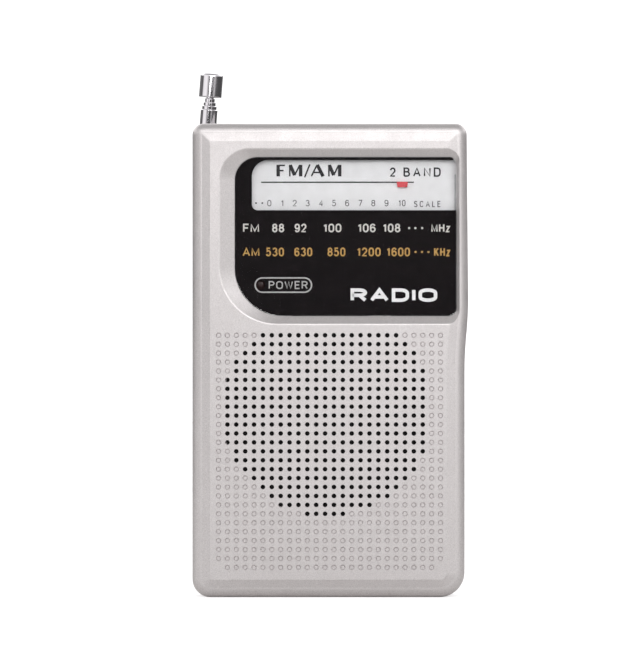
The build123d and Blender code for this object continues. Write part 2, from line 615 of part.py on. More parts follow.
def make_antenna_coil():
    left, right = COIL_X
    return (along_x(ROD_Y, ROD_Z, ROD_R + COIL_THICK, left, right)
            - along_x(ROD_Y, ROD_Z, ROD_R, left - 1, right + 1))


def make_ferrite_holders():
    holders = []
    for x in HOLDER_X:
        holder = block(x - 1.5, x + 1.5, BOARD_BACK, ROD_Y, ROD_Z - 3.9, ROD_Z + 3.9)
        holders.append(holder - along_x(ROD_Y, ROD_Z, ROD_R + 0.04, x - 2, x + 2))
    return group(holders)


# ---- Speaker ----
TAG_X, TAG_BACK = (SPEAKER_X - 20.0, SPEAKER_X + 20.0), -5.4   # wire tags on the frame


def make_speaker_frame():
    floor_front = FRAME_BACK - FRAME_SHEET
    profile = [(SPEAKER_RIM, RIM_FRONT), (SPEAKER_RIM, RIM_BACK), (26.6, RIM_BACK),
               (26.6, -9.6), (15.2, FRAME_BACK), (8.0, FRAME_BACK), (8.0, floor_front),
               (15.0, floor_front), (25.9, -9.9), (25.9, RIM_FRONT)]
    frame = turned(profile, SPEAKER_X, SPEAKER_Z)
    windows = []
    for angle in (0, 90, 180, 270):
        slot = Pos(20.4, -7.5, 0) * Box(5.5, 8, 12)
        windows.append(Pos(SPEAKER_X, 0, SPEAKER_Z) * Rot(0, angle + 45, 0) * slot)
    frame -= windows
    for x in TAG_X:
        frame += block(x - 1.5, x + 1.5, -7.2, TAG_BACK, SPEAKER_Z - 2, SPEAKER_Z + 2)
    return frame


def make_speaker_top_plate():
    profile = [(PLATE_BORE, FRAME_BACK), (YOKE_R, FRAME_BACK), (YOKE_R, PLATE_BACK),
               (PLATE_BORE, PLATE_BACK)]
    return turned(profile, SPEAKER_X, SPEAKER_Z)


def make_speaker_magnet():
    profile = [(7.0, PLATE_BACK), (MAGNET_R, PLATE_BACK), (MAGNET_R, MAGNET_BACK),
               (7.0, MAGNET_BACK)]
    return turned(profile, SPEAKER_X, SPEAKER_Z)


def make_speaker_yoke():
    profile = [(0, FRAME_BACK), (POLE_R, FRAME_BACK), (POLE_R, MAGNET_BACK),
               (YOKE_R, MAGNET_BACK), (YOKE_R, YOKE_BACK), (0, YOKE_BACK)]
    return turned(profile, SPEAKER_X, SPEAKER_Z)


def make_speaker_cone():
    """Paper cone with its rolled edge and the voice coil's tube."""
    tube_outer = COIL_R + COIL_TUBE
    profile = [(25.5, -11.0), (25.5, -10.7), (24.0, -10.35), (22.6, -10.6), (tube_outer, -6.3),
               (tube_outer, -3.2), (COIL_R, -3.2), (COIL_R, -6.6), (22.4, -10.9), (24.0, -10.65)]
    return turned(profile, SPEAKER_X, SPEAKER_Z)


def make_speaker_dust_cap():
    profile = [(0, -8.8), (3.6, -8.3), (6.5, -6.98), (6.1, -6.88), (3.4, -8.0), (0, -8.45)]
    return turned(profile, SPEAKER_X, SPEAKER_Z)


def clamp_spots():
    for angle in CLAMP_ANGLES:
        yield (SPEAKER_X + CLAMP_CIRCLE * cos(radians(angle)),
               SPEAKER_Z + CLAMP_CIRCLE * sin(radians(angle)))


def make_speaker_washers():
    washers = [along_y(x, z, 3.5, RIM_BACK, RIM_BACK + 0.5)
               - along_y(x, z, SCREW_R + 0.1, RIM_BACK - 1, RIM_BACK + 1)
               for x, z in clamp_spots()]
    return group(washers)


def make_speaker_screws():
    return group([pan_screw(x, z, RIM_BACK + 0.5, 1.2, 2.4) for x, z in clamp_spots()])


def make_grille_cloth():
    cloth = along_y(SPEAKER_X, SPEAKER_Z, SPEAKER_RIM - 1.5, FLOOR_Y, FLOOR_Y + 0.25)
    return cloth - block(-40, 40, FLOOR_Y - 1, FLOOR_Y + 1, 67.0, 80)


# ---- Power ----
def make_cell(z, side):
    """Round cell along X, its nub on the given side."""
    half = CELL_LENGTH / 2
    ends = sorted((-side * half, side * (half - 1.5)))
    can = along_x(CELL_Y, z, CELL_R, *ends)
    can = fillet(can.edges().filter_by(GeomType.CIRCLE), 0.6)
    nub = sorted((side * (half - 1.6), side * half))
    return can + along_x(CELL_Y, z, 2.6, *nub)


def make_battery_plates():
    """Spring steel contact plates at both ends of the bay, with a dished boss."""
    plates = []
    for side in (-1, 1):
        face = sorted((side * (BAY_X - CONTACT_SHEET), side * BAY_X))
        plate = block(*face, -1.2, 12.0, 2.6, 31.0)
        z = CELL_Z[0] if side > 0 else CELL_Z[1]
        boss = sorted((side * (CELL_LENGTH / 2 + CONTACT_GAP), side * (BAY_X - 0.3)))
        plates.append(plate + along_x(CELL_Y, z, 1.8, *boss))
    return group(plates)


def make_battery_springs():
    """Plain sleeves the size of the two coil springs."""
    springs = []
    for side in (-1, 1):
        z = CELL_Z[1] if side > 0 else CELL_Z[0]
        ends = sorted((side * (CELL_LENGTH / 2 + CONTACT_GAP), side * (BAY_X - CONTACT_SHEET)))
        springs.append(along_x(CELL_Y, z, 3.6, *ends) - along_x(CELL_Y, z, 2.9, -30, 30))
    return group(springs)


# ---- Antenna, drawn upright at the origin and then leaned over at its pivot ----
def at_pivot(shape):
    return Pos(*PIVOT) * Rot(0, LEAN, 0) * shape


def upright(radius, z0, z1):
    return Pos(0, 0, (z0 + z1) / 2) * Cylinder(radius, z1 - z0)


def make_antenna_foot():
    """Fork that turns on the foot screw and holds the elbow pin between two ears."""
    plate_y0, plate_y1 = REBATE_Y + 0.1 - PIVOT[1], REBATE_Y + 1.0 - PIVOT[1]
    ear_end = EAR_HALF_GAP + EAR_THICK
    foot = along_y(0, 0, 2.1, plate_y0, plate_y1)
    foot += block(-ear_end, ear_end, plate_y0, plate_y1, -2.0, 1.0)
    for side in (-1, 1):
        ear = sorted((side * EAR_HALF_GAP, side * ear_end))
        foot += block(*ear, plate_y0, 0, -1.5, 1.5) + along_x(0, 0, 1.5, *ear)
    foot -= along_x(0, 0, 0.6, -5, 5)
    foot -= along_y(0, 0, SCREW_R + 0.04, plate_y0 - 1, plate_y1 + 1)
    return at_pivot(foot)


def make_antenna_foot_screw():
    seat = REBATE_Y + 1.0 - PIVOT[1] + 0.03
    screw = along_y(0, 0, 0.98, seat, seat + 0.8)
    screw += along_y(0, 0, SCREW_R, seat - 5.5, seat)
    return Pos(*PIVOT) * (screw - block(-2, 2, seat + 0.4, seat + 1, -0.2, 0.2))


def make_antenna_elbow_pin():
    ear_end = EAR_HALF_GAP + EAR_THICK
    return at_pivot(along_x(0, 0, 0.6, -ear_end, ear_end))


def section_radius(stage):
    """Outer radius of a section: 0 is the outer tube, 4 the solid rod."""
    return TUBE_R - stage * (TUBE_WALL + 0.05)


def make_antenna_tube(stage):
    """One hollow section, its rolled mouth holding the next one."""
    outer, step = section_radius(stage), STAGE_STEP * stage
    inner = outer - TUBE_WALL
    low = TUBE_BASE + 0.4 * stage
    tube = upright(outer, low, TUBE_END + step)
    tube = fillet(tube.edges().filter_by(GeomType.CIRCLE).sort_by(Axis.Z)[-1], TUBE_WALL * 0.8)
    tube -= upright(inner, low + 0.3, TUBE_END + step + 1)
    if stage == 0:
        tang = block(-EAR_HALF_GAP + 0.05, EAR_HALF_GAP - 0.05, -1.5, 1.5, 0, TUBE_BASE + 0.1)
        tang += along_x(0, 0, 1.5, -EAR_HALF_GAP + 0.05, EAR_HALF_GAP - 0.05)
        tube += tang - along_x(0, 0, 0.6 + FIT, -3, 3)
    return at_pivot(tube)


def make_antenna_rod():
    return at_pivot(upright(section_radius(4), TUBE_BASE + 1.9, ROD_END))


def make_antenna_knob():
    knob = upright(KNOB_R, KNOB_BASE, KNOB_BASE + KNOB_LENGTH)
    ends = knob.edges().filter_by(GeomType.CIRCLE).sort_by(Axis.Z)
    knob = fillet(ends[-1], 0.7)
    low_edge = knob.edges().filter_by(GeomType.CIRCLE).sort_by(Axis.Z)[0]
    knob = fillet(low_edge, 0.2)
    return at_pivot(knob - upright(section_radius(4), KNOB_BASE - 1, ROD_END))


# ---- Screws and wires ----
def make_case_screws():
    return group([pan_screw(x, z, CASE_SEAT_Y, 1.4, 12.5) for x, z in CASE_SCREWS])


def make_board_screws():
    return group([pan_screw(x, z, BOARD_BACK, 1.2, 5.0) for x, z in BOARD_SCREWS])


def wire(points, radii, thickness=0.5):
    """Insulated wire along straight runs with rounded corners."""
    path = FilletPolyline(*points, radius=radii)
    section = Plane(path @ 0, z_dir=path % 0) * Circle(thickness)
    return sweep(section, path=path)


def make_speaker_wires():
    """From the back of the board round to the tags on the speaker frame."""
    wires = []
    for start, tag in ((-14.0, TAG_X[0]), (14.0, TAG_X[1])):
        wires.append(wire([(start, BOARD_BACK, 62.9), (start, 3.0, 62.9), (tag, 3.0, SPEAKER_Z),
                           (tag, TAG_BACK, SPEAKER_Z)], [2.2, 2.5]))
    return group(wires)


def make_battery_wires():
    """From the top of the battery bay up to the back of the board."""
    bay_top = BAY_TOP + BAY_WALL
    wires = []
    for x in (-24.8, 24.8):
        wires.append(wire([(x, 3.0, bay_top), (x, 3.0, 50.0), (x, 1.8, 63.5),
                           (x, BOARD_BACK, 63.5)], [12, 2.5]))
    return group(wires)


NODES = {
    "front_cover": lambda: perforate(make_front_cover()),
    "rear_cover": make_rear_cover,
    "battery_door": make_battery_door,
    "case_screws": make_case_screws,
    "grille_cloth": make_grille_cloth,
    "dial_lens": make_dial_lens,
    "dial_mask": make_dial_mask,
    "dial_plate": make_dial_plate,
    "dial_pointer": make_dial_pointer,
    "pointer_carriage": make_pointer_carriage,
    "dial_cord": make_dial_cord,
    "cord_pulley_upper": lambda: make_pulley(CORD_TOP_Z - PULLEY_R),
    "cord_pulley_lower": lambda: make_pulley(CORD_LOW_Z + PULLEY_R),
    "pulley_pins": make_pulley_pins,
    "tuning_wheel": make_tuning_wheel,
    "tuning_wheel_screw": lambda: pan_screw(TUNE_X, TUNE_Z, TUNE_SEAT, 0.95, 3.0, point=1),
    "tuning_shaft": make_tuning_shaft,
    "tuning_capacitor": make_tuning_capacitor,
    "volume_wheel": make_volume_wheel,
    "volume_wheel_screw": lambda: pan_screw(VOL_X, VOL_Z, VOL_SEAT, 0.9, 2.0, point=1),
    "volume_shaft": make_volume_shaft,
    "volume_pot": make_volume_pot,
    "band_switch_body": make_band_switch_body,
    "band_switch_knob": make_band_switch_knob,
    "earphone_jack": make_earphone_jack,
    "power_led": make_power_led,
    "circuit_board": make_circuit_board,
    "board_screws": make_board_screws,
    "radio_ic": make_radio_ic,
    "if_transformers": make_if_transformers,
    "electrolytic_capacitors": make_electrolytics,
    "disc_capacitors": make_disc_capacitors,
    "ceramic_filters": make_ceramic_filters,
    "resistors": make_resistors,
    "ferrite_rod": make_ferrite_rod,
    "antenna_coil": make_antenna_coil,
    "ferrite_holders": make_ferrite_holders,
    "speaker_frame": make_speaker_frame,
    "speaker_top_plate": make_speaker_top_plate,
    "speaker_magnet": make_speaker_magnet,
    "speaker_yoke": make_speaker_yoke,
    "speaker_cone": make_speaker_cone,
    "speaker_dust_cap": make_speaker_dust_cap,
    "speaker_washers": make_speaker_washers,
    "speaker_screws": make_speaker_screws,
    "battery_upper": lambda: make_cell(CELL_Z[1], -1),
    "battery_lower": lambda: make_cell(CELL_Z[0], 1),
    "battery_plates": make_battery_plates,
    "battery_springs": make_battery_springs,
    "antenna_foot": make_antenna_foot,
    "antenna_foot_screw": make_antenna_foot_screw,
    "antenna_elbow_pin": make_antenna_elbow_pin,
    "antenna_section_1": lambda: make_antenna_tube(0),
    "antenna_section_2": lambda: make_antenna_tube(1),
    "antenna_section_3": lambda: make_antenna_tube(2),
    "antenna_section_4": lambda: make_antenna_tube(3),
    "antenna_rod": make_antenna_rod,
    "antenna_knob": make_antenna_knob,
    "speaker_wires": make_speaker_wires,
    "battery_wires": make_battery_wires,
}

os.makedirs("parts", exist_ok=True)
for node_name, make_node in NODES.items():
    write(node_name, make_node())
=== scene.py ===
from math import cos, pi, radians, sin

import bpy
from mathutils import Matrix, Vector


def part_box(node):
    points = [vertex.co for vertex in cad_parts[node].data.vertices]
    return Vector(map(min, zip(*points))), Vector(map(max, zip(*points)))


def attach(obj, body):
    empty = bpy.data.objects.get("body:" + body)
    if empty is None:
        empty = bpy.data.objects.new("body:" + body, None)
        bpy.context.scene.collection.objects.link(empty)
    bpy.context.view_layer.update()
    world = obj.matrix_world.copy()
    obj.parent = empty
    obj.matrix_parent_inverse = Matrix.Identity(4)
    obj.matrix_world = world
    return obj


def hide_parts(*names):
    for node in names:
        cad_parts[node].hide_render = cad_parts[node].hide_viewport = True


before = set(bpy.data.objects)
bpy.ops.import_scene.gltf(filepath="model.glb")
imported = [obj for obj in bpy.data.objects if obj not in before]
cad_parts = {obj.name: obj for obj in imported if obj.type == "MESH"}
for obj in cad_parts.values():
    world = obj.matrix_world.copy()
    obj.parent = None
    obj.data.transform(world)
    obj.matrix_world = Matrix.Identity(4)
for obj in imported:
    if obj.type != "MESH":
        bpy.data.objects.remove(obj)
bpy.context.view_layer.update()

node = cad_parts
MM = 0.001


WAVE_SCALE = 0.314159            # scale at which a wave texture repeats once a millimetre


# ---- Node helpers ----
def material(name, roughness=0.5, metallic=0.0, colour=(0.5, 0.5, 0.5), **sockets):
    """New material with one Principled shader whose uniform values are set on its own sockets."""
    mat = bpy.data.materials.new(name)
    mat.use_nodes = True
    shader = mat.node_tree.nodes["Principled BSDF"]
    shader.inputs["Base Color"].default_value = (*colour, 1)
    shader.inputs["Roughness"].default_value = roughness
    shader.inputs["Metallic"].default_value = metallic
    for socket, value in sockets.items():
        shader.inputs[socket.replace("_", " ")].default_value = value
    return mat, mat.node_tree, shader


def place(tree, stretch=(1, 1, 1)):
    """Object coordinates in millimetres, stretched along the axes."""
    source = tree.nodes.new("ShaderNodeTexCoord")
    mapping = tree.nodes.new("ShaderNodeMapping")
    mapping.inputs["Scale"].default_value = [1000 * s for s in stretch]
    tree.links.new(source.outputs["Object"], mapping.inputs["Vector"])
    return mapping.outputs["Vector"]


def noise(tree, size, detail=2.0, stretch=(1, 1, 1), rough=0.5):
    """Noise with features of the given size in millimetres."""
    texture = tree.nodes.new("ShaderNodeTexNoise")
    texture.inputs["Scale"].default_value = 1 / size
    texture.inputs["Detail"].default_value = detail
    texture.inputs["Roughness"].default_value = rough
    tree.links.new(place(tree, stretch), texture.inputs["Vector"])
    return texture.outputs["Fac"]


def wave(tree, pitch, axis, distortion=0.0):
    """Bands across one axis, one every pitch millimetres."""
    texture = tree.nodes.new("ShaderNodeTexWave")
    texture.bands_direction = axis
    texture.inputs["Scale"].default_value = WAVE_SCALE / pitch
    texture.inputs["Distortion"].default_value = distortion
    tree.links.new(place(tree), texture.inputs["Vector"])
    return texture.outputs["Fac"]


def rings(tree, pitch, centre):
    """Circles round an axis along Y through the centre (x, z) in millimetres."""
    texture = tree.nodes.new("ShaderNodeTexWave")
    texture.wave_type = 'RINGS'
    texture.rings_direction = 'Y'
    texture.inputs["Scale"].default_value = WAVE_SCALE / pitch
    source = tree.nodes.new("ShaderNodeTexCoord")
    mapping = tree.nodes.new("ShaderNodeMapping")
    mapping.inputs["Scale"].default_value = (1000, 1000, 1000)
    mapping.inputs["Location"].default_value = (-centre[0], 0, -centre[1])
    tree.links.new(source.outputs["Object"], mapping.inputs["Vector"])
    tree.links.new(mapping.outputs["Vector"], texture.inputs["Vector"])
    return texture.outputs["Fac"]


def axis_value(tree, axis):
    """One object coordinate, in millimetres."""
    split = tree.nodes.new("ShaderNodeSeparateXYZ")
    tree.links.new(place(tree), split.inputs[0])
    return split.outputs[axis]


def ramp(tree, value, stops, interpolation='LINEAR'):
    """Colours along a value from 0 to 1: stops are (position, (r, g, b))."""
    element = tree.nodes.new("ShaderNodeValToRGB")
    element.color_ramp.interpolation = interpolation
    while len(element.color_ramp.elements) < len(stops):
        element.color_ramp.elements.new(0.5)
    for slot, (position, colour) in zip(element.color_ramp.elements, stops):
        slot.position = position
        slot.color = (*colour, 1)
    tree.links.new(value, element.inputs["Fac"])
    return element.outputs["Color"]


def spread(tree, value, low, high, start=0.0, end=1.0):
    """Value from start to end mapped on low to high."""
    element = tree.nodes.new("ShaderNodeMapRange")
    element.inputs["From Min"].default_value = start
    element.inputs["From Max"].default_value = end
    element.inputs["To Min"].default_value = low
    element.inputs["To Max"].default_value = high
    tree.links.new(value, element.inputs["Value"])
    return element.outputs["Result"]


def maths(tree, operation, first, second):
    """Math node on two values or sockets."""
    element = tree.nodes.new("ShaderNodeMath")
    element.operation = operation
    for slot, value in zip(element.inputs, (first, second)):
        if isinstance(value, (int, float)):
            slot.default_value = value
        else:
            tree.links.new(value, slot)
    return element.outputs["Value"]


def mixed(tree, factor, first, second):
    """Colour between two colours or sockets."""
    element = tree.nodes.new("ShaderNodeMix")
    element.data_type = 'RGBA'
    tree.links.new(factor, element.inputs["Factor"])
    for slot, value in ((6, first), (7, second)):
        if isinstance(value, tuple):
            element.inputs[slot].default_value = (*value, 1)
        else:
            tree.links.new(value, element.inputs[slot])
    return element.outputs[2]


def bump(tree, shader, height, distance):
    """Relief of the given depth in millimetres; the heights add up."""
    element = tree.nodes.new("ShaderNodeBump")
    element.inputs["Strength"].default_value = 1.0
    element.inputs["Distance"].default_value = distance * MM
    tree.links.new(height, element.inputs["Height"])
    if shader.inputs["Normal"].links:
        tree.links.new(shader.inputs["Normal"].links[0].from_socket, element.inputs["Normal"])
    tree.links.new(element.outputs["Normal"], shader.inputs["Normal"])


def tinted(tree, shader, value, dark, light, start=0.3, end=0.7):
    """Base colour that varies between two colours."""
    tree.links.new(ramp(tree, value, ((start, dark), (end, light))), shader.inputs["Base Color"])


def roughened(tree, shader, value, low, high):
    """Roughness that varies between two values."""
    tree.links.new(spread(tree, value, low, high, 0.3, 0.7), shader.inputs["Roughness"])


# ---- Materials ----
def silver_paint():
    """Warm silver lacquer: fine flake, faint cloudiness, orange peel."""
    mat, tree, shader = material("silver lacquer", metallic=0.85)
    flake = noise(tree, 0.16, 1.0)
    cloud = noise(tree, 9.0, 3.0)
    grain = ramp(tree, flake, ((0.25, (0.50, 0.474, 0.474)), (0.75, (0.72, 0.69, 0.69))))
    tree.links.new(mixed(tree, spread(tree, cloud, 0.0, 0.16, 0.35, 0.65), grain,
                         (0.56, 0.525, 0.525)), shader.inputs["Base Color"])
    roughened(tree, shader, noise(tree, 3.0, 3.0), 0.44, 0.52)
    bump(tree, shader, noise(tree, 0.7, 2.0), 0.004)
    bump(tree, shader, flake, 0.002)
    return mat


def plastic(name, dark, light, low, high, grain=0.25, depth=0.004, **sockets):
    """Moulded plastic: slight mottling, moulding texture, uneven gloss."""
    mat, tree, shader = material(name, **sockets)
    tinted(tree, shader, noise(tree, 2.5, 3.0), dark, light)
    roughened(tree, shader, noise(tree, 1.2, 2.0), low, high)
    bump(tree, shader, noise(tree, grain, 2.0), depth)
    return mat


def metal(name, dark, light, low, high, size=0.6, stretch=(1, 1, 1), depth=0.001, **sockets):
    """Metal with a worked surface that runs along the stretched axis."""
    mat, tree, shader = material(name, metallic=1.0, **sockets)
    tinted(tree, shader, noise(tree, size * 3, 3.0, stretch), dark, light)
    roughened(tree, shader, noise(tree, size, 4.0, stretch), low, high)
    bump(tree, shader, noise(tree, size * 0.3, 2.0, stretch), depth)
    return mat


def clear_window():
    """Clear acrylic that lets lamps through."""
    mat, tree, shader = material("clear acrylic", roughness=0.02, colour=(0.97, 0.975, 0.975),
                                 IOR=1.49, Transmission_Weight=1.0)
    bump(tree, shader, noise(tree, 14.0, 1.0), 0.0015)
    output = tree.nodes["Material Output"]
    path = tree.nodes.new("ShaderNodeLightPath")
    through = tree.nodes.new("ShaderNodeBsdfTransparent")
    through.inputs["Color"].default_value = (0.96, 0.965, 0.965, 1)
    mix = tree.nodes.new("ShaderNodeMixShader")
    tree.links.new(path.outputs["Is Shadow Ray"], mix.inputs[0])
    tree.links.new(shader.outputs[0], mix.inputs[1])
    tree.links.new(through.outputs[0], mix.inputs[2])
    tree.links.new(mix.outputs[0], output.inputs["Surface"])
    return mat


def weave():
    """Black dust cloth: plain weave of 0.5 mm threads."""
    mat, tree, shader = material("speaker dust cloth", roughness=0.9, Sheen_Weight=0.2)
    across = wave(tree, 0.5, 'X', distortion=0.3)
    along = wave(tree, 0.5, 'Z', distortion=0.3)
    cloth = maths(tree, 'MULTIPLY', across, along)
    tinted(tree, shader, cloth, (0.010, 0.010, 0.011), (0.045, 0.043, 0.045), 0.1, 0.9)
    bump(tree, shader, cloth, 0.08)
    return mat


def circuit():
    """Phenolic board, green side out, with copper tracks under the lacquer."""
    mat, tree, shader = material("printed board")
    cells = tree.nodes.new("ShaderNodeTexVoronoi")
    cells.distance = 'MANHATTAN'
    cells.feature = 'F1'
    cells.inputs["Scale"].default_value = 1 / 4.2
    tree.links.new(place(tree), cells.inputs["Vector"])
    tracks = ramp(tree, cells.outputs["Distance"],
                  ((0.28, (0.055, 0.105, 0.045)), (0.32, (0.16, 0.20, 0.07)),
                   (0.5, (0.17, 0.21, 0.075)), (0.54, (0.055, 0.105, 0.045))))
    grain = noise(tree, 0.9, 3.0, (1, 1, 3))
    tree.links.new(mixed(tree, spread(tree, grain, 0.0, 0.35, 0.35, 0.65), tracks,
                         (0.035, 0.075, 0.03)), shader.inputs["Base Color"])
    roughened(tree, shader, grain, 0.3, 0.45)
    bump(tree, shader, cells.outputs["Distance"], 0.03)
    return mat


def cone_paper():
    """Pressed paper: fibre noise, and rings every 2.2 mm round the middle of the cone."""
    mat, tree, shader = material("cone paper", roughness=0.95)
    fibre = noise(tree, 0.8, 5.0, rough=0.7)
    low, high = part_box("speaker_cone")
    ring = rings(tree, 2.2, [(low[axis] + high[axis]) / 2 / MM for axis in (0, 2)])
    tinted(tree, shader, fibre, (0.035, 0.032, 0.030), (0.085, 0.080, 0.075))
    bump(tree, shader, fibre, 0.05)
    bump(tree, shader, ring, 0.12)
    return mat


def cell_wrap():
    """Dry cell: printed jacket with a copper-coloured end band, bare steel ends."""
    mat, tree, shader = material("cell jacket")
    x = spread(tree, axis_value(tree, 0), 0.0, 1.0, -25.3, 25.3)
    jacket = ramp(tree, x, ((0.0, (0.6, 0.6, 0.62)), (0.022, (0.03, 0.03, 0.035)),
                            (0.70, (0.46, 0.20, 0.07)), (0.965, (0.6, 0.6, 0.62))), 'CONSTANT')
    scuff = noise(tree, 1.1, 4.0)
    tree.links.new(mixed(tree, spread(tree, scuff, 0.0, 0.25, 0.4, 0.75), jacket,
                         (0.25, 0.24, 0.24)), shader.inputs["Base Color"])
    bare = ramp(tree, x, ((0.0, (1, 1, 1)), (0.022, (0.3, 0.3, 0.3)), (0.965, (1, 1, 1))),
                'CONSTANT')
    tree.links.new(bare, shader.inputs["Metallic"])
    roughened(tree, shader, scuff, 0.22, 0.36)
    bump(tree, shader, noise(tree, 0.8), 0.006)
    return mat


def wire_sleeve():
    """Two leads told apart by their side: black on the left, red on the right."""
    mat, tree, shader = material("wire sleeve")
    side = spread(tree, axis_value(tree, 0), 0.0, 1.0, -1.0, 1.0)
    pair = ramp(tree, side, ((0.0, (0.018, 0.018, 0.020)), (0.5, (0.42, 0.035, 0.03))), 'CONSTANT')
    tone = noise(tree, 1.6, 2.0)
    tree.links.new(mixed(tree, spread(tree, tone, 0.0, 0.3, 0.35, 0.65), pair,
                         (0.09, 0.04, 0.04)), shader.inputs["Base Color"])
    roughened(tree, shader, tone, 0.4, 0.55)
    bump(tree, shader, noise(tree, 0.3, 2.0), 0.01)
    return mat


def wound(name, dark, light, pitch, axis, low, high, depth, metallic=0.0):
    """Thread or wire laid turn beside turn."""
    mat, tree, shader = material(name, metallic=metallic)
    turns = wave(tree, pitch, axis, distortion=0.2)
    tinted(tree, shader, turns, dark, light, 0.1, 0.9)
    roughened(tree, shader, turns, low, high)
    bump(tree, shader, turns, depth)
    return mat


def sleeve_print():
    """Shrink sleeve with a pale stripe on one side."""
    mat, tree, shader = material("capacitor sleeve")
    y = spread(tree, axis_value(tree, 1), 0.0, 1.0, -2.2, 7.8)
    body = ramp(tree, y, ((0.0, (0.02, 0.05, 0.17)), (0.9, (0.03, 0.07, 0.22)),
                          (0.93, (0.55, 0.55, 0.56))), 'CONSTANT')
    tone = noise(tree, 1.5, 2.0)
    tree.links.new(mixed(tree, spread(tree, tone, 0.0, 0.25, 0.35, 0.65), body,
                         (0.02, 0.04, 0.12)), shader.inputs["Base Color"])
    roughened(tree, shader, tone, 0.28, 0.4)
    bump(tree, shader, noise(tree, 0.6, 2.0), 0.01)
    return mat


def resistor_body():
    """Tan carbon resistors with colour bands across the lead direction."""
    mat, tree, shader = material("resistor body")
    band = ramp(tree, wave(tree, 2.6, 'X'),
                ((0.0, (0.42, 0.28, 0.15)), (0.42, (0.30, 0.10, 0.03)), (0.52, (0.45, 0.31, 0.17)),
                 (0.74, (0.05, 0.04, 0.04)), (0.82, (0.42, 0.28, 0.15)), (0.94, (0.5, 0.36, 0.08))),
                'CONSTANT')
    tone = noise(tree, 0.7, 3.0)
    tree.links.new(mixed(tree, spread(tree, tone, 0.0, 0.3, 0.35, 0.65), band,
                         (0.30, 0.2, 0.11)), shader.inputs["Base Color"])
    roughened(tree, shader, tone, 0.4, 0.6)
    bump(tree, shader, tone, 0.02)
    return mat


def ink(name, dark, light, roughness=0.55):
    """Screen-printed ink: uneven cover, dry surface."""
    mat, tree, shader = material(name)
    tinted(tree, shader, noise(tree, 0.35, 3.0), dark, light)
    roughened(tree, shader, noise(tree, 0.2, 2.0), roughness - 0.08, roughness + 0.08)
    bump(tree, shader, noise(tree, 0.12, 2.0), 0.003)
    return mat


paint = silver_paint()
acrylic = clear_window()
mask_black = plastic("black dial mask", (0.0045, 0.0030, 0.0038), (0.0075, 0.0052, 0.0062),
                     0.6, 0.75, grain=0.15, depth=0.003, Specular_IOR_Level=0.03)
card_white = plastic("white scale card", (0.70, 0.69, 0.70), (0.76, 0.75, 0.765),
                     0.55, 0.68, grain=0.2, depth=0.003)
red = plastic("red pointer plastic", (0.55, 0.022, 0.035), (0.64, 0.035, 0.05), 0.3, 0.4)
white = plastic("white nylon", (0.62, 0.60, 0.55), (0.70, 0.68, 0.63), 0.38, 0.5,
                Subsurface_Weight=0.15, Subsurface_Scale=0.002)
black = plastic("black moulded plastic", (0.014, 0.014, 0.015), (0.028, 0.027, 0.028), 0.35, 0.5,
                grain=0.3, depth=0.012)
clear_poly = plastic("milky capacitor case", (0.66, 0.66, 0.62), (0.76, 0.76, 0.72), 0.2, 0.32,
                     Subsurface_Weight=0.35, Subsurface_Scale=0.003)
lamp = plastic("unlit red lamp", (0.012, 0.0015, 0.0015), (0.018, 0.002, 0.002), 0.3, 0.4,
               Specular_IOR_Level=0.2)
ceramic = plastic("tan ceramic dip", (0.48, 0.27, 0.10), (0.60, 0.36, 0.15), 0.35, 0.55,
                  grain=0.5, depth=0.03)
filter_orange = plastic("orange filter dip", (0.62, 0.19, 0.03), (0.74, 0.26, 0.05), 0.3, 0.45,
                        grain=0.5, depth=0.02)
ferrite = plastic("sintered ferrite", (0.020, 0.020, 0.022), (0.045, 0.045, 0.048), 0.55, 0.75,
                  grain=0.35, depth=0.03)
chrome = metal("chrome plate", (0.72, 0.70, 0.73), (0.80, 0.78, 0.81), 0.05, 0.09,
               size=0.35, stretch=(1, 1, 0.08), depth=0.0004)
steel = metal("zinc-plated steel", (0.48, 0.47, 0.45), (0.62, 0.61, 0.58), 0.24, 0.4, size=0.9)
spring_steel = metal("spring steel", (0.50, 0.50, 0.50), (0.66, 0.66, 0.66), 0.2, 0.32, size=0.5)
brass = metal("turned brass", (0.60, 0.42, 0.16), (0.72, 0.53, 0.24), 0.2, 0.32,
              size=0.4, stretch=(0.2, 1, 0.2))
thread = wound("waxed dial thread", (0.30, 0.26, 0.19), (0.62, 0.57, 0.46), 0.28, 'X', 0.6, 0.8,
               0.03)
copper = wound("enamelled copper winding", (0.30, 0.10, 0.035), (0.72, 0.33, 0.14), 0.3, 'X',
               0.2, 0.35, 0.05, metallic=1.0)

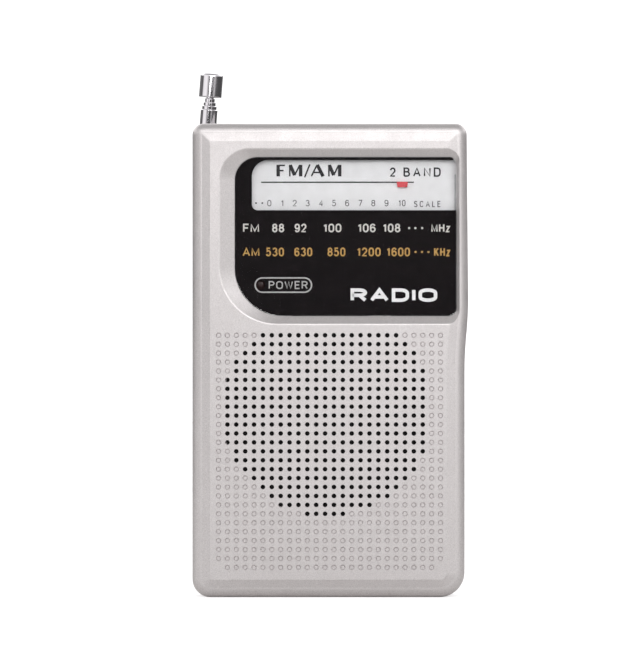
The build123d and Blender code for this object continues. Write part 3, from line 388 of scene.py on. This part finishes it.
finish = {
    paint: ("front_cover", "rear_cover", "battery_door"),
    acrylic: ("dial_lens",),
    mask_black: ("dial_mask",),
    card_white: ("dial_plate",),
    red: ("dial_pointer",),
    white: ("cord_pulley_upper", "cord_pulley_lower", "ferrite_holders"),
    black: ("pointer_carriage", "tuning_wheel", "volume_wheel", "band_switch_knob", "earphone_jack",
            "radio_ic"),
    clear_poly: ("tuning_capacitor",),
    lamp: ("power_led",),
    ceramic: ("disc_capacitors",),
    resistor_body(): ("resistors",),
    filter_orange: ("ceramic_filters",),
    ferrite: ("ferrite_rod", "speaker_magnet"),
    chrome: ("antenna_foot", "antenna_section_1", "antenna_section_2", "antenna_section_3",
             "antenna_section_4", "antenna_rod", "antenna_knob"),
    steel: ("case_screws", "pulley_pins", "tuning_wheel_screw", "volume_wheel_screw",
            "volume_pot", "band_switch_body", "board_screws", "if_transformers",
            "speaker_frame", "speaker_top_plate", "speaker_yoke", "speaker_washers",
            "speaker_screws", "battery_plates", "antenna_foot_screw", "antenna_elbow_pin"),
    spring_steel: ("battery_springs",),
    brass: ("tuning_shaft", "volume_shaft"),
    thread: ("dial_cord",),
    copper: ("antenna_coil",),
    weave(): ("grille_cloth",),
    circuit(): ("circuit_board",),
    cone_paper(): ("speaker_cone", "speaker_dust_cap"),
    cell_wrap(): ("battery_upper", "battery_lower"),
    sleeve_print(): ("electrolytic_capacitors",),
    wire_sleeve(): ("speaker_wires", "battery_wires"),
}
for mat, names in finish.items():
    for name in names:
        for slot in node[name].material_slots:
            slot.material = mat


# ---- Pieces made here ----
def piece(name, vertices, faces, mat, body, smooth=False):
    """Mesh object from vertices in millimetres, riding on a body."""
    mesh = bpy.data.meshes.new(name)
    mesh.from_pydata([[c * MM for c in v] for v in vertices], [], faces)
    mesh.validate()
    mesh.update()
    for face in mesh.polygons:
        face.use_smooth = smooth
    mesh.materials.append(mat)
    obj = bpy.data.objects.new(name, mesh)
    bpy.context.scene.collection.objects.link(obj)
    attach(obj, body)
    return obj


def arc(x, z, across, up, start, end, steps=10):
    """Points on an ellipse, angles in degrees."""
    turn = [radians(start + (end - start) * i / steps) for i in range(steps + 1)]
    return [(x + across * cos(a), z + up * sin(a)) for a in turn]


LOOP = arc(0.5, 0.70, 0.5, 0.30, 0, 180) + arc(0.5, 0.30, 0.5, 0.30, 180, 360) + [(1.0, 0.70)]
BOWL = [(0, 0), (0, 1), (0.5, 1)] + arc(0.5, 0.74, 0.5, 0.26, 90, -90) + [(0, 0.48)]
# Width and centre lines of each letter, in a square one high.
LETTERS = {
    "0": (0.62, [LOOP]),
    "1": (0.34, [[(0.8, 0), (0.8, 1)], [(0.0, 0.76), (0.75, 0.90)]]),
    "2": (0.62, [arc(0.5, 0.71, 0.5, 0.29, 175, -35) + [(0, 0), (1, 0)]]),
    "3": (0.62, [arc(0.48, 0.76, 0.44, 0.24, 165, -80) + arc(0.48, 0.27, 0.52, 0.27, 80, -165)]),
    "4": (0.64, [[(0.74, 0), (0.74, 1), (0, 0.30), (1, 0.30)]]),
    "5": (0.62, [[(0.92, 1), (0.16, 1), (0.06, 0.50)] + arc(0.46, 0.33, 0.54, 0.33, 125, -160)]),
    "6": (0.62, [arc(0.5, 0.30, 0.5, 0.30, 0, 360, 18),
                 arc(0.5, 0.66, 0.5, 0.34, 25, 180) + [(0, 0.34)]]),
    "7": (0.60, [[(0, 1), (1, 1), (0.32, 0)]]),
    "8": (0.62, [arc(0.5, 0.765, 0.44, 0.235, 0, 360, 16), arc(0.5, 0.27, 0.5, 0.27, 0, 360, 16)]),
    "9": (0.62, [arc(0.5, 0.70, 0.5, 0.30, 0, 360, 18),
                 arc(0.5, 0.34, 0.5, 0.34, 205, 360) + [(1, 0.66)]]),
    "A": (0.80, [[(0, 0), (0.5, 1), (1, 0)], [(0.19, 0.32), (0.81, 0.32)]]),
    "B": (0.66, [[(0, 0), (0, 1), (0.5, 1)] + arc(0.5, 0.77, 0.40, 0.23, 90, -90)
                 + [(0, 0.54)], arc(0.52, 0.27, 0.48, 0.27, 90, -90) + [(0, 0)]]),
    "C": (0.74, [arc(0.5, 0.68, 0.5, 0.32, 25, 180) + arc(0.5, 0.32, 0.5, 0.32, 180, 335)]),
    "D": (0.72, [[(0, 0), (0, 1)] + arc(0.5, 0.66, 0.5, 0.34, 90, 0)
                 + arc(0.5, 0.34, 0.5, 0.34, 0, -90) + [(0, 0)]]),
    "E": (0.60, [[(1, 1), (0, 1), (0, 0), (1, 0)], [(0, 0.52), (0.9, 0.52)]]),
    "F": (0.58, [[(1, 1), (0, 1), (0, 0)], [(0, 0.50), (0.86, 0.50)]]),
    "H": (0.70, [[(0, 0), (0, 1)], [(1, 0), (1, 1)], [(0, 0.52), (1, 0.52)]]),
    "I": (0.0, [[(0.5, 0), (0.5, 1)]]),
    "K": (0.70, [[(0, 0), (0, 1)], [(0.96, 1), (0, 0.34)], [(0.34, 0.58), (1, 0)]]),
    "L": (0.56, [[(0, 1), (0, 0), (1, 0)]]),
    "M": (0.86, [[(0, 0), (0, 1), (0.5, 0.08), (1, 1), (1, 0)]]),
    "N": (0.72, [[(0, 0), (0, 1), (1, 0), (1, 1)]]),
    "O": (0.80, [LOOP]),
    "P": (0.66, [BOWL]),
    "R": (0.68, [BOWL, [(0.55, 0.48), (1, 0)]]),
    "S": (0.66, [arc(0.5, 0.755, 0.46, 0.245, 25, 270) + arc(0.5, 0.255, 0.5, 0.255, 90, -155)]),
    "W": (1.05, [[(0, 1), (0.26, 0), (0.5, 1), (0.74, 0), (1, 1)]]),
    "z": (0.50, [[(0, 0.7), (1, 0.7), (0, 0), (1, 0)]]),
    " ": (0.40, []),
}


SHARPEST = 0.55                 # keeps the mitre of a sharp corner short


def stroke(points, width, front, back):
    """Flat ribbon along a line, with mitred corners."""
    closed = abs(points[0][0] - points[-1][0]) + abs(points[0][1] - points[-1][1]) < 1e-6
    points = [p for i, p in enumerate(points)
              if i == 0 or abs(p[0] - points[i - 1][0]) + abs(p[1] - points[i - 1][1]) > 1e-6]
    if closed:
        points = points[:-1]
    count = len(points)
    normals = []
    for i in range(count if closed else count - 1):
        (x0, z0), (x1, z1) = points[i], points[(i + 1) % count]
        length = ((x1 - x0) ** 2 + (z1 - z0) ** 2) ** 0.5
        normals.append(((z0 - z1) / length, (x1 - x0) / length))
    vertices = []
    for i, (x, z) in enumerate(points):
        before = normals[i - 1] if closed or i else normals[0]
        after = normals[i] if closed or i < count - 1 else normals[-1]
        turn = 1 + before[0] * after[0] + before[1] * after[1]
        scale = width / 2 / max(turn, SHARPEST)
        dx, dz = (before[0] + after[0]) * scale, (before[1] + after[1]) * scale
        vertices += [(x + dx, front, z + dz), (x - dx, front, z - dz),
                     (x + dx, back, z + dz), (x - dx, back, z - dz)]
    faces = []
    for i in range(count if closed else count - 1):
        a, b = 4 * i, 4 * ((i + 1) % count)
        faces += [[a + 1, b + 1, b, a], [a + 2, b + 2, b + 3, a + 3],
                  [a + 1, a + 3, b + 3, b + 1], [a, b, b + 2, a + 2]]
    if not closed:
        end = 4 * (count - 1)
        faces += [[1, 0, 2, 3], [end + 1, end + 3, end + 2, end]]
    return vertices, faces


LAYER = 0.002                   # each stroke of a word lies this far in front of the last


def word(text, left, right, low, high, width, front, back, gap=0.4):
    """Letters filling a box, drawn with one stroke width."""
    unit = (right - left - gap * (len(text) - 1) - width * len(text)) \
        / sum(LETTERS[letter][0] for letter in text)
    parts = []
    for letter in text:
        across = unit * LETTERS[letter][0]
        for line in LETTERS[letter][1]:
            lift = LAYER * len(parts)
            parts.append(stroke([(left + width / 2 + u * across,
                                  low + width / 2 + v * (high - low - width)) for u, v in line],
                                width, front - lift, back))
        left += across + width + gap
    return parts


def disc(x, z, radius, front, back, sides=20):
    """Printed dot."""
    points = []
    for depth in (front, back):
        for i in range(sides):
            angle = 2 * pi * i / sides
            points.append((x + radius * cos(angle), depth, z + radius * sin(angle)))
    faces = [list(range(sides)), list(range(2 * sides - 1, sides - 1, -1))]
    for i in range(sides):
        j = (i + 1) % sides
        faces.append([i, i + sides, j + sides, j])
    return points, faces


def pill(left, right, low, high, width, front, back):
    """Printed outline with round ends."""
    radius, middle = (high - low - width) / 2, (high + low) / 2
    right_end, left_end = right - width / 2 - radius, left + width / 2 + radius
    return stroke(arc(right_end, middle, radius, radius, -90, 90, 14)
                  + arc(left_end, middle, radius, radius, 90, 270, 14)
                  + [(right_end, middle - radius)], width, front, back)


def printed(name, parts, mat):
    """One piece from many printed shapes."""
    vertices, faces = [], []
    for points, sides in parts:
        base = len(vertices)
        vertices += points
        faces += [[base + i for i in side] for side in sides]
    return piece(name, vertices, faces, mat, "case")


def row(words, low, high, width, front, back, gap=0.4):
    """Words on one line: (text, left, right)."""
    return [part for text, left, right in words
            for part in word(text, left, right, low, high, width, front, back, gap)]


INK_GAP, INK_THICK = 0.005, 0.02     # between a face and its ink, and the ink itself

# Printing on the scale card, just in front of its face.
CARD_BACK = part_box("dial_plate")[0][1] / MM - INK_GAP
CARD_Y = CARD_BACK - INK_THICK
dark_ink = ink("dark grey ink", (0.012, 0.010, 0.013), (0.026, 0.023, 0.027), 0.8)
grey_ink = ink("mid grey ink", (0.050, 0.047, 0.052), (0.08, 0.077, 0.082), 0.8)
TITLE_LOW, TITLE_HIGH = 104.85, 107.75
THICK, THIN = 0.86, 0.4


def title(lines):
    """Heavy and light strokes of the band title: (points, stroke width)."""
    return [stroke([(x, TITLE_LOW + v * (TITLE_HIGH - TITLE_LOW)) for x, v in points], width,
                   CARD_Y - LAYER * i, CARD_BACK) for i, (points, width) in enumerate(lines)]


titles = title([
    ([(-12.55, 0), (-12.55, 1)], THICK), ([(-12.3, 0.95), (-10.85, 0.95)], THIN),
    ([(-12.3, 0.5), (-11.2, 0.5)], THIN), ([(-9.65, 0), (-9.65, 1)], THIN),
    ([(-9.55, 0.98), (-8.45, 0.1)], THICK), ([(-8.45, 0.1), (-7.2, 0.95)], THIN),
    ([(-6.95, 0), (-6.95, 1)], THICK), ([(-5.95, -0.08), (-4.65, 1.04)], THIN),
    ([(-4.25, 0.02), (-2.85, 1.0)], THIN), ([(-2.8, 1.0), (-1.35, 0)], THICK),
    ([(-3.6, 0.34), (-1.9, 0.34)], THIN), ([(0.1, 0), (0.1, 1)], THIN),
    ([(0.2, 0.98), (1.3, 0.1)], THICK), ([(1.3, 0.1), (2.5, 0.95)], THIN),
    ([(2.8, 0), (2.8, 1)], THICK),
])
titles += row([("2", 15.3, 16.75), ("BAND", 18.7, 28.0)], 104.75, 107.1, THIN, CARD_Y, CARD_BACK,
              0.75)
printed("print_titles", titles, dark_ink)

digits = []
DIGIT_X = (-14.75, -11.5, -8.43, -5.2, -1.85, 1.38, 4.66, 7.93, 11.17, 14.45)
DIGIT_LOW, DIGIT_HIGH, DIGIT_STROKE = 97.4, 99.0, 0.2
for value, x in enumerate(DIGIT_X):
    half = 0.3 if value == 1 else 0.5
    digits += word(str(value), x - half, x + half, DIGIT_LOW, DIGIT_HIGH, DIGIT_STROKE, CARD_Y,
                   CARD_BACK)
digits += row([("10", 17.45, 19.2)], DIGIT_LOW, DIGIT_HIGH, DIGIT_STROKE, CARD_Y, CARD_BACK, 0.3)
digits += row([("SCALE", 21.3, 28.0)], 97.2, 98.75, 0.22, CARD_Y, CARD_BACK, 0.55)
digits += [disc(x, 98.2, 0.24, CARD_Y, CARD_BACK) for x in (-18.07, -16.5)]
printed("print_scale_digits", digits, grey_ink)

# Printing on the black mask, in the film between it and the lens.
MASK_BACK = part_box("dial_mask")[0][1] / MM - INK_GAP
MASK_Y = MASK_BACK - INK_THICK
cream_ink = ink("off-white ink", (0.50, 0.48, 0.46), (0.62, 0.60, 0.57))
grey_white_ink = ink("grey-white ink", (0.36, 0.35, 0.35), (0.46, 0.45, 0.45))
white_ink = ink("white ink", (0.74, 0.73, 0.74), (0.82, 0.81, 0.82))
amber_ink = ink("amber ink", (0.42, 0.23, 0.045), (0.52, 0.30, 0.07))
SCALE_STROKE, DOT_R = 0.36, 0.27
FM = (("FM", -21.3, -17.3), ("88", -14.05, -11.05), ("92", -8.45, -5.5), ("100", -1.3, 3.2),
      ("106", 7.3, 11.75), ("108", 13.55, 17.9), ("MHz", 25.6, 30.3))
printed("print_fm_scale", row(FM, 90.9, 93.05, SCALE_STROKE, MASK_Y, MASK_BACK, 0.32)
        + [disc(x, 91.95, DOT_R, MASK_Y, MASK_BACK) for x in (20.1, 21.65, 23.35)],
        cream_ink)
AM = (("AM", -21.4, -17.2), ("530", -15.6, -11.1), ("630", -8.5, -4.05), ("850", -0.25, 4.2),
      ("1200", 7.1, 13.0), ("1600", 14.5, 20.3), ("KHz", 26.3, 30.3))
printed("print_am_scale", row(AM, 84.9, 87.1, SCALE_STROKE, MASK_Y, MASK_BACK, 0.32)
        + [disc(x, 86.0, DOT_R, MASK_Y, MASK_BACK) for x in (21.7, 23.3, 24.9)],
        amber_ink)
printed("print_power", [pill(-18.45, -4.05, 75.8, 79.7, 0.34, MASK_Y, MASK_BACK)]
        + row([("POWER", -14.9, -5.2)], 76.75, 78.75, 0.3, MASK_Y, MASK_BACK, 0.4),
        grey_white_ink)
printed("print_name", row([("RADIO", 5.5, 27.1)], 73.55, 76.95, 0.86, MASK_Y, MASK_BACK, 0.75),
        white_ink)


# Wound contact springs in the place of the plain sleeves.
def round_wire(path, radius, sides=10):
    """Round wire along a list of points."""
    points = [Vector(p) for p in path]
    vertices, faces = [], []
    normal = (points[1] - points[0]).orthogonal()
    for i, p in enumerate(points):
        ahead = (points[min(i + 1, len(points) - 1)] - points[max(i - 1, 0)]).normalized()
        normal = (normal - ahead * normal.dot(ahead)).normalized()
        across = ahead.cross(normal)
        for k in range(sides):
            angle = 2 * pi * k / sides
            vertices.append(p + radius * (cos(angle) * normal + sin(angle) * across))
    for i in range(len(points) - 1):
        for k in range(sides):
            n = (k + 1) % sides
            faces.append([i * sides + k, i * sides + n, (i + 1) * sides + n, (i + 1) * sides + k])
    last = (len(points) - 1) * sides
    faces += [list(range(sides - 1, -1, -1)), [last + k for k in range(sides)]]
    return vertices, faces


def contact_springs():
    low, high = (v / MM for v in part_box("battery_springs"))
    radius, turns, steps = 0.24, 3.25, 24
    narrowing = 0.35               # how much smaller the last turn is than the first
    wide = (high[1] - low[1]) / 2 - radius
    vertices, faces = [], []
    for side, cell in ((-1, "battery_lower"), (1, "battery_upper")):
        cell_low, cell_high = (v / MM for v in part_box(cell))
        y, z = (cell_low[1] + cell_high[1]) / 2, (cell_low[2] + cell_high[2]) / 2
        plate = side * (high[0] - radius)
        end = side * (max(abs(cell_low[0]), cell_high[0]) + radius)
        path = []
        for i in range(int(turns * steps) + 1):
            share = i / (turns * steps)
            angle = 2 * pi * turns * share
            reach = wide * (1 - narrowing * share)
            path.append((plate + (end - plate) * share, y + reach * cos(angle),
                         z + reach * sin(angle)))
        points, sides = round_wire(path, radius)
        faces += [[len(vertices) + i for i in side_face] for side_face in sides]
        vertices += points
    springs = piece("contact_springs", vertices, faces, spring_steel, "case", smooth=True)
    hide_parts("battery_springs")


contact_springs()


# ---- Floor, light, camera ----
def floor_material():
    """White gloss to the camera; to everything else a painted pool of light: a pale disc that
    darkens away from the set.
    """
    mat, tree, shader = material("pale floor", roughness=0.22, colour=(0.9, 0.9, 0.9))
    roughened(tree, shader, noise(tree, 40.0, 2.0), 0.18, 0.24)
    shader.inputs["Emission Color"].default_value = (1, 1, 1, 1)
    shader.inputs["Emission Strength"].default_value = 0.55
    plain = tree.nodes.new("ShaderNodeBsdfDiffuse")
    distance = tree.nodes.new("ShaderNodeVectorMath")
    distance.operation = 'LENGTH'
    tree.links.new(place(tree), distance.inputs[0])
    # Painted pool of light on the floor, seen only by rays other than the camera's: pale within 220
    # mm of the set, dark from 500 mm out.
    tree.links.new(ramp(tree, spread(tree, distance.outputs["Value"], 0.0, 1.0, 0.0, 1000.0),
                        ((0.22, (0.80, 0.79, 0.78)), (0.5, (0.10, 0.10, 0.10)))),
                   plain.inputs["Color"])
    path = tree.nodes.new("ShaderNodeLightPath")
    mix = tree.nodes.new("ShaderNodeMixShader")
    tree.links.new(path.outputs["Is Camera Ray"], mix.inputs[0])
    tree.links.new(plain.outputs[0], mix.inputs[1])
    tree.links.new(shader.outputs[0], mix.inputs[2])
    tree.links.new(mix.outputs[0], tree.nodes["Material Output"].inputs["Surface"])
    return mat


REACH = 4.0                     # half the floor's side, in metres
mesh = bpy.data.meshes.new("floor")
mesh.from_pydata([(-REACH, -REACH, 0), (REACH, -REACH, 0), (REACH, REACH, 0), (-REACH, REACH, 0)],
                 [], [(0, 1, 2, 3)])
mesh.materials.append(floor_material())
floor = bpy.data.objects.new("floor", mesh)
bpy.context.scene.collection.objects.link(floor)


# Dark and pale cards round the set at the height of the radio: (degrees from the front, tone).
CARDS = ((-180, 0.10), (-92, 0.10), (-78, 1.1), (-44, 1.1), (-28, 0.45), (-12, 1.1), (8, 1.0),
         (20, 0.28), (30, 0.45), (42, 0.9), (62, 0.45), (92, 0.12), (180, 0.10))


def studio():
    """White to the camera; to everything else a soft room, dark behind the lens and below."""
    world = bpy.data.worlds.new("studio")
    bpy.context.scene.world = world
    world.use_nodes = True
    tree = world.node_tree
    back = tree.nodes["Background"]
    back.inputs["Strength"].default_value = 2.1
    coord = tree.nodes.new("ShaderNodeTexCoord")
    split = tree.nodes.new("ShaderNodeSeparateXYZ")
    tree.links.new(coord.outputs["Generated"], split.inputs[0])
    height = spread(tree, split.outputs[2], 0.0, 1.0, -1.0, 1.0)
    sky = ramp(tree, height, ((0.0, (0.10, 0.10, 0.10)), (0.38, (0.22, 0.215, 0.21)),
                              (0.52, (0.62, 0.61, 0.61)), (0.70, (0.70, 0.70, 0.70)),
                              (0.88, (0.30, 0.30, 0.30)), (1.0, (0.22, 0.22, 0.22))))
    depth = spread(tree, split.outputs[1], 0.0, 1.0, -1.0, 1.0)
    room = ramp(tree, depth, ((0.0, (0.05, 0.05, 0.05)), (0.015, (0.08, 0.08, 0.08)),
                              (0.06, (0.80, 0.80, 0.80)), (0.40, (0.75, 0.75, 0.75)),
                              (0.65, (1.2, 1.2, 1.2)), (1.0, (1.7, 1.7, 1.7))))
    shade = tree.nodes.new("ShaderNodeMix")
    shade.data_type = 'RGBA'
    shade.blend_type = 'MULTIPLY'
    shade.inputs["Factor"].default_value = 1.0
    tree.links.new(sky, shade.inputs[6])
    tree.links.new(room, shade.inputs[7])
    forward = maths(tree, 'MULTIPLY', split.outputs[1], -1.0)
    heading = maths(tree, 'ARCTAN2', split.outputs[0], forward)
    cards = ramp(tree, spread(tree, heading, 0.0, 1.0, -pi, pi),
                 [((180 + angle) / 360, (tone, tone, tone)) for angle, tone in CARDS])
    near_horizon = ramp(tree, height, ((0.36, (0, 0, 0)), (0.43, (1, 1, 1)), (0.57, (1, 1, 1)),
                                       (0.64, (0, 0, 0))))
    striped = tree.nodes.new("ShaderNodeMix")
    striped.data_type = 'RGBA'
    striped.blend_type = 'MULTIPLY'
    tree.links.new(near_horizon, striped.inputs["Factor"])
    tree.links.new(shade.outputs[2], striped.inputs[6])
    tree.links.new(cards, striped.inputs[7])
    path = tree.nodes.new("ShaderNodeLightPath")
    tree.links.new(mixed(tree, path.outputs["Is Camera Ray"], striped.outputs[2], (0.6, 0.6, 0.6)),
                   back.inputs["Color"])


def softbox(name, at, towards, width, height, power):
    """Rectangular lamp facing a point, all in millimetres."""
    data = bpy.data.lights.new(name, 'AREA')
    data.shape = 'RECTANGLE'
    data.size = width * MM
    data.size_y = height * MM
    data.energy = power
    lamp_object = bpy.data.objects.new(name, data)
    lamp_object.location = Vector(at) * MM
    lamp_object.rotation_euler = (Vector(towards) - Vector(at)).to_track_quat('-Z', 'Y').to_euler()
    bpy.context.scene.collection.objects.link(lamp_object)

studio()
softbox("key", (60, -400, 195), (0, 0, 50), 380, 110, 0.62)
softbox("strip", (0, -200, 230), (0, 0, 116), 260, 50, 0.065)

DISTANCE = 2000.0
FRAME_HEIGHT = 166.75
AIM_X, AIM_Z, FACE_Y = -2.617, 65.43, -12.0
data = bpy.data.cameras.new("camera")
data.sensor_width = 36.0
data.lens = 36.0 * DISTANCE / FRAME_HEIGHT
data.clip_start = 0.05
data.clip_end = 30.0
camera = bpy.data.objects.new("camera", data)
camera.location = (AIM_X * MM, (FACE_Y - DISTANCE) * MM, AIM_Z * MM)
camera.rotation_euler = (radians(90), 0, 0)
bpy.context.scene.collection.objects.link(camera)
bpy.context.scene.camera = camera
bpy.context.scene.view_settings.view_transform = 'Standard'
bpy.context.scene.view_settings.look = 'None'
